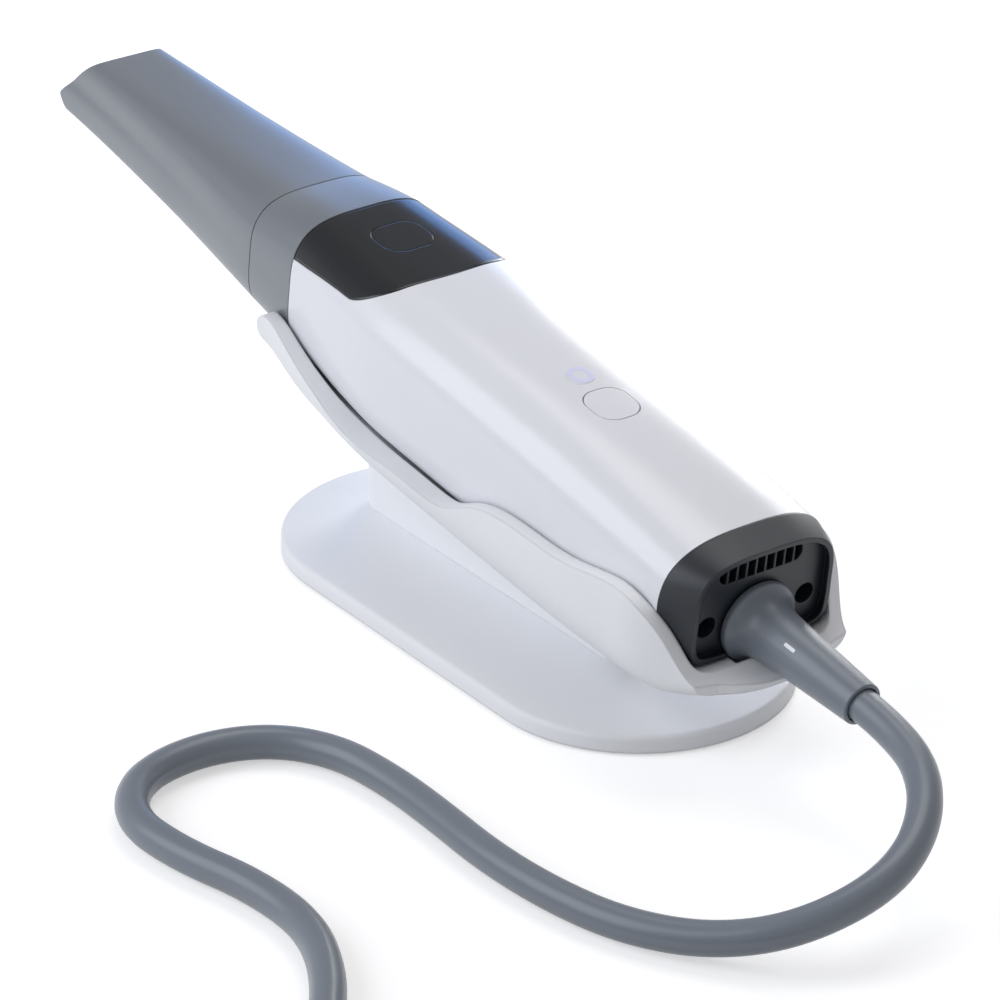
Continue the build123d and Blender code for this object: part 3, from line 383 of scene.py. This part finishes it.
# finish of each carried-over node
nodeFinish = {
    "tip_sleeve": "satinPpsuGrey", "nose_collar": "satinPpsuGrey", "tip_mirror": "frontSilveredGlass",
    "optics_neck": "satinAbsDark", "front_window": "opticalGlass", "housing": "glossyAbsWhite",
    "top_panel": "glossyPolycarbonateBlack", "scan_button": "glossyPolycarbonateBlack",
    "function_button": "glossyAbsWhite", "status_light": "glossyAbsWhite", "bottom_cover": "glossyAbsWhite",
    "cover_screws": "blackOxideSteel", "rear_cap": "satinAbsDark", "cap_screws": "blackOxideSteel",
    "cable_boot": "satinElastomerGrey", "cable_connector": "nickelPlatedSteel", "chassis": "satinAbsDark",
    "fan_frame": "mattAbsBlack", "fan_rotor": "mattAbsBlack", "main_board": "solderMaskGreen",
    "heat_sink": "extrudedAluminium", "key_board": "solderMaskGreen", "board_spacers": "zincPlatedSteel",
    "tact_switches": "blackOxideSteel", "projector_module": "satinAbsDark", "camera_module": "satinAbsDark",
    "cradle": "satinAbsWhite", "base_plate": "satinAbsWhite", "base_weight": "zincPlatedSteel",
    "base_pad": "mattSiliconeGrey", "cradle_screws": "zincPlatedSteel", "coil_tie": "wovenStrapBlack",
    "plug_body": "satinElastomerGrey", "plug_shell": "nickelPlatedSteel", "plug_tongue": "satinAbsDark",
    "cable_coil": "satinElastomerGrey", "cable": "satinElastomerGrey", "cable_tail": "satinElastomerGrey",
}
for name, finish in nodeFinish.items():
    mesh = nodes[name].data
    mesh.materials.clear()
    mesh.materials.append(materials[finish])
print("finishes on", len(nodeFinish), "nodes")


# corners and faces of several meshes, run together
def joinMeshes(meshes):
    corners, faces = [], []
    for mesh in meshes:
        start = len(corners)
        corners += [v.co.copy() for v in mesh.vertices]
        faces += [[start + i for i in polygon.vertices] for polygon in mesh.polygons]
    return corners, faces


def meshPiece(name, corners, faces, finish):
    mesh = bpy.data.meshes.new(name)
    mesh.from_pydata(corners, [], faces)
    mesh.materials.append(materials[finish])
    return addObject(name, mesh)


# search tree of one node's skin, or of several, to lay marks on
def skinTree(*names):
    return BVHTree.FromPolygons(*joinMeshes(nodes[name].data for name in names))


# rounded rectangle as a loop of points, square corners worn round by a power curve
def roundedLoop(length, width, power, count):
    loop = []
    for k in range(count):
        c, d = math.cos(2 * math.pi * k / count), math.sin(2 * math.pi * k / count)
        along = math.copysign(abs(c) ** (2 / power), c) * length / 2
        across = math.copysign(abs(d) ** (2 / power), d) * width / 2
        loop.append((along, across))
    return loop


# thin closed band between two loops; place puts a loop point on the skin at a height above it
def thinBand(name, outer, inner, place, thickness, finish):
    count = len(outer)
    corners = [place(p, h) for h in (thickness, -thickness) for loop in (outer, inner) for p in loop]
    topOuter, topInner, lowOuter, lowInner = (count * ring for ring in range(4))
    strips = ((topOuter, topInner), (lowInner, lowOuter), (lowOuter, topOuter), (topInner, lowInner))
    faces = []
    for k in range(count):
        n = (k + 1) % count
        faces += [(one + k, one + n, two + n, two + k) for one, two in strips]
    return meshPiece(name, corners, faces, finish)


# status lamp: a soft square ring that shows through the housing
statusRing = {
    "u": -12.3, "y": -0.6,  # mm, its middle on the housing
    "outer": (5.6, 4.9), "inner": (3.3, 2.7),  # mm
    "power": 3.0, "count": 48, "thickness": 0.03,  # thickness in mm, to each side of the skin
    "above": 40, "reach": 20,  # mm, where the search for the skin starts, and how far it goes
    "shares": (1.0, 0.94, 0.88, 0.8),  # nearer the middle, tried in turn where a point falls in the joint
}


def makeStatusRing(ring):
    skin = skinTree("housing", "status_light")

    def place(point, height):
        for share in ring["shares"]:
            start = handPoint(ring["u"] + point[0] * share, ring["y"] + point[1] * share, ring["above"])
            hit = skin.ray_cast(start, -upDir, ring["reach"] * mm)[0]
            if hit is not None:
                break
        w = (hit - handOrigin).dot(upDir) / mm
        return handPoint(ring["u"] + point[0], ring["y"] + point[1], w + height)

    outer = roundedLoop(*ring["outer"], ring["power"], ring["count"])
    inner = roundedLoop(*ring["inner"], ring["power"], ring["count"])
    return thinBand("statusRing", outer, inner, place, ring["thickness"], "frostedAcrylicBlue")


# printed dash on the boot
bootMark = {
    "u": -87.8, "angle": 43,  # mm along, degrees up from the left
    "size": (2.9, 0.75), "core": (2.3, 0.005),  # mm, the core closes to almost nothing
    "power": 7.0, "count": 48, "thickness": 0.03,  # thickness in mm, to each side of the skin
    "radius": 5.4, "outside": 21.6,  # mm, the boot's radius there, and where the search for the skin starts
}


def makeBootMark(dash):
    skin = skinTree("cable_boot")

    def place(point, height):
        turn = math.radians(dash["angle"]) + point[1] / dash["radius"]
        out = acrossDir * math.cos(turn) + upDir * math.sin(turn)
        axis = handPoint(dash["u"] + point[0], 0, 0)
        hit = skin.ray_cast(axis + out * dash["outside"] * mm, -out)[0]
        return hit + out * height * mm

    outer = roundedLoop(*dash["size"], dash["power"], dash["count"])
    inner = roundedLoop(*dash["core"], dash["power"], dash["count"])
    return thinBand("bootMark", outer, inner, place, dash["thickness"], "printedInkWhite")


marks = [makeStatusRing(statusRing), makeBootMark(bootMark)]
for mark, slot in zip(marks, ("light_pipe", "white_polymer")):
    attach(mark, "scanner")
print("marks laid on the skin")

# plug details, repeated by geometry nodes: grip ribs on its sides and spring contacts on its tongue
plugDetails = {
    "ribCount": 7, "ribPitch": 1.7, "ribRadius": 0.35, "ribHeight": 4.6, "ribStart": 6.0,  # mm
    "contactCount": 4, "contactPitch": 2.2, "contactWidth": 1.1, "contactLength": 7.2,  # mm
    "contactThickness": 0.12, "contactBow": 0.35, "contactStart": 1.6,  # mm
    "barSteps": 10, "cornerSteps": 4,  # along a bar, and round each corner of its section
}


# a tree that sets copies of one swept bar along a line: named inputs for its sizes
def barRowTree(name, finish, plug):
    tree = bpy.data.node_groups.new(name, "GeometryNodeTree")
    for label, kind in (
        ("Count", "NodeSocketInt"), ("Step", "NodeSocketVector"), ("Start", "NodeSocketVector"),
        ("Bar Start", "NodeSocketVector"), ("Bar Middle", "NodeSocketVector"),
        ("Bar End", "NodeSocketVector"), ("Width", "NodeSocketFloat"), ("Thickness", "NodeSocketFloat"),
    ):
        tree.interface.new_socket(label, in_out="INPUT", socket_type=kind)
    tree.interface.new_socket("Geometry", in_out="OUTPUT", socket_type="NodeSocketGeometry")
    given = addNode(tree, "NodeGroupInput").outputs
    row = addNode(tree, "GeometryNodeMeshLine", {"mode": "OFFSET"}, {
        "Count": given["Count"], "Start Location": given["Start"], "Offset": given["Step"],
    })
    path = addNode(tree, "GeometryNodeCurveQuadraticBezier", {}, {
        "Resolution": plug["barSteps"], "Start": given["Bar Start"], "Middle": given["Bar Middle"],
        "End": given["Bar End"],
    })
    section = addNode(tree, "GeometryNodeCurvePrimitiveQuadrilateral", {"mode": "RECTANGLE"}, {
        "Width": given["Width"], "Height": given["Thickness"],
    })
    worn = addNode(tree, "GeometryNodeFilletCurve", {"mode": "POLY"}, {
        "Curve": section.outputs["Curve"], "Count": plug["cornerSteps"], "Limit Radius": True,
        "Radius": given["Thickness"],
    })
    bar = addNode(tree, "GeometryNodeCurveToMesh", {}, {
        "Curve": path.outputs["Curve"], "Profile Curve": worn.outputs["Curve"], "Fill Caps": True,
    })
    copies = addNode(tree, "GeometryNodeInstanceOnPoints", {}, {
        "Points": row.outputs["Mesh"], "Instance": bar.outputs["Mesh"],
    })
    real = addNode(tree, "GeometryNodeRealizeInstances", {}, {"Geometry": copies.outputs["Instances"]})
    dressed = addNode(tree, "GeometryNodeSetMaterial", {}, {
        "Geometry": real.outputs["Geometry"], "Material": materials[finish],
    })
    addNode(tree, "NodeGroupOutput", {}, {"Geometry": dressed.outputs["Geometry"]})
    return tree


# runs a tree once for each set of values and joins the results into one plain mesh
def treeMesh(name, tree, sets, finish):
    identifiers = {i.name: i.identifier for i in tree.interface.items_tree if i.in_out == "INPUT"}
    made = []
    for values in sets:
        holder = addObject(name, bpy.data.meshes.new(name))
        modifier = holder.modifiers.new(name, "NODES")
        modifier.node_group = tree
        for label, value in values.items():
            modifier[identifiers[label]] = value
        graph = bpy.context.evaluated_depsgraph_get()
        made.append(bpy.data.meshes.new_from_object(holder.evaluated_get(graph)))
        holder.modifiers.remove(modifier)
        bpy.data.objects.remove(holder)
    return meshPiece(name, *joinMeshes(made), finish)


def makePlugDetails(plug):
    bodyLow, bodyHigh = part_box("plug_body")
    tongueLow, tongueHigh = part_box("plug_tongue")
    middle = [(a + b) / 2 for a, b in zip(bodyLow, bodyHigh)]
    ribs = []
    for side in (bodyLow[0], bodyHigh[0]):
        start = (side, bodyHigh[1] - plug["ribStart"] * mm, middle[2])
        ribs.append({
            "Count": plug["ribCount"], "Step": (0, -plug["ribPitch"] * mm, 0), "Start": start,
            "Bar Start": (0, 0, -plug["ribHeight"] / 2 * mm), "Bar Middle": (0, 0, 0),
            "Bar End": (0, 0, plug["ribHeight"] / 2 * mm),
            "Width": 2 * plug["ribRadius"] * mm, "Thickness": 2 * plug["ribRadius"] * mm,
        })
    reach = (plug["contactCount"] - 1) * plug["contactPitch"] / 2
    top = tongueHigh[2] + plug["contactThickness"] / 2 * mm
    handle = 2 * plug["contactBow"] * mm  # the curve rises to half the height of its middle point
    contacts = [{
        "Count": plug["contactCount"], "Step": (plug["contactPitch"] * mm, 0, 0),
        "Start": (middle[0] - reach * mm, tongueLow[1] + plug["contactStart"] * mm, top),
        "Bar Start": (0, 0, 0), "Bar Middle": (0, plug["contactLength"] / 2 * mm, handle),
        "Bar End": (0, plug["contactLength"] * mm, 0),
        "Width": plug["contactWidth"] * mm, "Thickness": plug["contactThickness"] * mm,
    }]
    ribTree = barRowTree("plugRibs", "satinElastomerGrey", plug)
    contactTree = barRowTree("plugContacts", "goldFlash", plug)
    return [
        treeMesh("plugGripRibs", ribTree, ribs, "satinElastomerGrey"),
        treeMesh("plugContacts", contactTree, contacts, "goldFlash"),
    ]


plugPieces = makePlugDetails(plugDetails)
for piece, slot in zip(plugPieces, ("cable_jacket", "brass")):
    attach(piece, "scanner")
print("plug ribs and contacts made")

# cable: out of the boot, along the table in loose curves, a tied coil, then the plug
cableSettings = {
    "diameter": 6.8,  # mm
    "length": 1.7,  # m
    "stepsAlong": 8, "stepsAround": 7,
    "route": [  # mm, by hand
        (-103.507, 0, 24.973), (-117.387, 0, 23.146), (-131.2, 6.2, 21.0), (-140.6, 17.0, 17.2),
        (-143.6, 29.5, 13.4), (-138.6, 44.0, 8.2), (-127.6, 54.4, 4.4), (-113.4, 62.6, 3.4),
        (-97.0, 66.8, 3.4), (-79.0, 68.2, 3.4), (-61.5, 67.2, 3.4), (-46.0, 67.0, 3.4), (-29.8, 69.0, 3.4),
        (-18.1, 77.5, 3.4), (-13.4, 91.9, 3.4), (-16.8, 106.9, 3.4), (-28.5, 115.4, 3.4),
        (-45.0, 114.2, 3.4), (-61.5, 109.4, 3.4), (-79.0, 108.6, 3.4), (-94.6, 114.6, 3.4),
        (-109.4, 125.4, 3.4), (-125.0, 136.4, 3.4), (-141.0, 148.6, 3.4),
    ],
    "coilCentre": (-181.2, 122.6),  # mm
    "coilRadii": (44.8, 38.0, 31.2),  # mm, a cable apart
    "coilLevels": (4.2, 11.0),  # mm, two layers
    "coilStart": 54,  # degrees, where the cable comes in
    "coilEnd": 1980,  # degrees, where it leaves for the plug
    "coilStep": 15,  # degrees between points
    "moves": (300, 660, 1260, 1620),  # degrees after the start: in, in, out, out to the next radius
    "climb": 960,  # degrees after the start, up to the second layer
    "shift": 60,  # degrees that each move takes
    "tail": [(-226.1, 105.6, 9.8), (-226.2, 90.6, 6.1), (-226.2, 77.6, 4.0), (-226.2, 67.6, 4.0)],  # mm
}


# radius and height of the coil at an angle: inwards over three radii below, then outwards on top
def coilPlace(cord, angle):
    outer, middle, inner = cord["coilRadii"]
    low, high = cord["coilLevels"]

    # share of a move that is done at this angle, with a soft start and end
    def done(move):
        share = min(1, max(0, (angle - cord["coilStart"] - move) / cord["shift"]))
        return share * share * (3 - 2 * share)

    changes = (middle - outer, inner - middle, middle - inner, outer - middle)
    radius = outer + sum(change * done(move) for change, move in zip(changes, cord["moves"]))
    return radius, low + (high - low) * done(cord["climb"])


def cablePoints(cord):
    points = list(cord["route"])
    x, y = cord["coilCentre"]
    for angle in range(cord["coilStart"], cord["coilEnd"] + 1, cord["coilStep"]):
        radius, height = coilPlace(cord, angle)
        turn = math.radians(angle)
        points.append((x + radius * math.cos(turn), y + radius * math.sin(turn), height))
    return points + cord["tail"]


def makeCable(cord):
    points = cablePoints(cord)
    curve = bpy.data.curves.new("scannerCable", "CURVE")
    curve.dimensions = "3D"
    curve.resolution_u = cord["stepsAlong"]
    curve.bevel_depth = cord["diameter"] / 2 * mm
    curve.bevel_resolution = cord["stepsAround"]
    curve.use_fill_caps = True
    spline = curve.splines.new("NURBS")
    spline.points.add(len(points) - 1)
    for point, place in zip(spline.points, points):
        point.co = [c * mm for c in place] + [1]
    spline.order_u = 3
    spline.use_endpoint_u = True
    curve.materials.append(materials["satinElastomerGrey"])
    return addObject("scannerCable", curve)


cable = makeCable(cableSettings)
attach(cable, "scanner")
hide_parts("cable", "cable_coil", "cable_tail")
print("cable laid through", len(cable.data.splines[0].points), "points")

# studio: pale floor that goes white to the eye, a soft world, softboxes
studio = {
    "floorSize": 8.0, "floorDrop": 0.0002,  # m, the floor just clear of the feet
    "floorColour": "#d8d8d8", "floorGlow": 0.5,  # the glow is for the eye and reflections alone
    "worldLow": "#f4f6fa", "worldHigh": "#b3b1b2", "worldStrength": 0.75,
    "worldBlend": (0.05, 0.55),  # heights on a sphere of radius 1, from low to high
}


def makeFloor(room):
    half, z = room["floorSize"] / 2, -room["floorDrop"]
    material, tree = emptyMaterial("paintedFloor")
    path = addNode(tree, "ShaderNodeLightPath")
    seen = addNode(tree, "ShaderNodeMath", {"operation": "ADD"}, {
        0: path.outputs["Is Camera Ray"], 1: path.outputs["Is Glossy Ray"],
    })
    seenAll = addNode(tree, "ShaderNodeMath", {"operation": "ADD", "use_clamp": True}, {
        0: seen.outputs["Value"], 1: path.outputs["Is Transmission Ray"],
    })
    strength = addNode(tree, "ShaderNodeMath", {"operation": "MULTIPLY"}, {
        0: seenAll.outputs["Value"], 1: room["floorGlow"],
    })
    diffuse = addNode(tree, "ShaderNodeBsdfDiffuse", {}, {"Color": linear(room["floorColour"])})
    glow = addNode(tree, "ShaderNodeEmission", {}, {"Strength": strength.outputs["Value"]})
    both = addNode(tree, "ShaderNodeAddShader", {}, {
        0: diffuse.outputs["BSDF"], 1: glow.outputs["Emission"],
    })
    addNode(tree, "ShaderNodeOutputMaterial", {}, {"Surface": both.outputs["Shader"]})
    materials["paintedFloor"] = material
    corners = [(-half, -half, z), (half, -half, z), (half, half, z), (-half, half, z)]
    meshPiece("studioFloor", corners, [(0, 1, 2, 3)], "paintedFloor")


def makeWorld(room):
    world = bpy.data.worlds.new("studioWorld")
    world.use_nodes = True
    tree = world.node_tree
    tree.nodes.clear()
    low, high = room["worldBlend"]
    coords = addNode(tree, "ShaderNodeTexCoord")
    split = addNode(tree, "ShaderNodeSeparateXYZ", {}, {"Vector": coords.outputs["Generated"]})
    blend = addNode(tree, "ShaderNodeMapRange", {"interpolation_type": "SMOOTHSTEP"}, {
        "Value": split.outputs["Z"], "From Min": low, "From Max": high,
    })
    colour = addNode(tree, "ShaderNodeMix", {"data_type": "RGBA"}, {
        "Factor": blend.outputs["Result"], "A": linear(room["worldLow"]), "B": linear(room["worldHigh"]),
    })
    background = addNode(tree, "ShaderNodeBackground", {}, {
        "Color": colour.outputs["Result"], "Strength": room["worldStrength"],
    })
    addNode(tree, "ShaderNodeOutputWorld", {}, {"Surface": background.outputs["Background"]})
    scene.world = world


# places, aims and sizes in m, power in W
softboxes = {
    # large cool key from the left of the view, towards the nose
    "keySoftbox": {
        "place": (0.38, 1.02, 0.78), "aim": (0, 0, 0.04), "size": (1.2, 0.95),
        "power": 10, "colour": "#f3f7ff",
    },
    # overhead, a little behind
    "topSoftbox": {
        "place": (0.2, -0.3, 1.0), "aim": (0, 0, 0.04), "size": (0.7, 0.5),
        "power": 2.6, "colour": "#ffffff",
    },
    # low panels behind the object, white behind the barrel and blue behind the tip
    "rimPanelWhite": {
        "place": (0.193, -0.308, 0.155), "aim": (-0.03, 0, 0.05), "size": (0.14, 0.23),
        "power": 0.6, "colour": "#ffffff",
    },
    "rimPanelBlue": {
        "place": (0.314, -0.227, 0.145), "aim": (0.08, 0, 0.06), "size": (0.14, 0.15),
        "power": 0.145, "colour": "#5ca4ff",
    },
}


def makeSoftbox(name, box):
    data = bpy.data.lights.new(name, "AREA")
    data.shape = "RECTANGLE"
    data.size, data.size_y = box["size"]
    data.energy = box["power"]
    data.color = linear(box["colour"])[:3]
    pointAlong(addObject(name, data), box["place"], Vector(box["aim"]) - Vector(box["place"]))


makeFloor(studio)
makeWorld(studio)
for name, box in softboxes.items():
    makeSoftbox(name, box)
scene.view_settings.view_transform = "Standard"
print("studio lit")
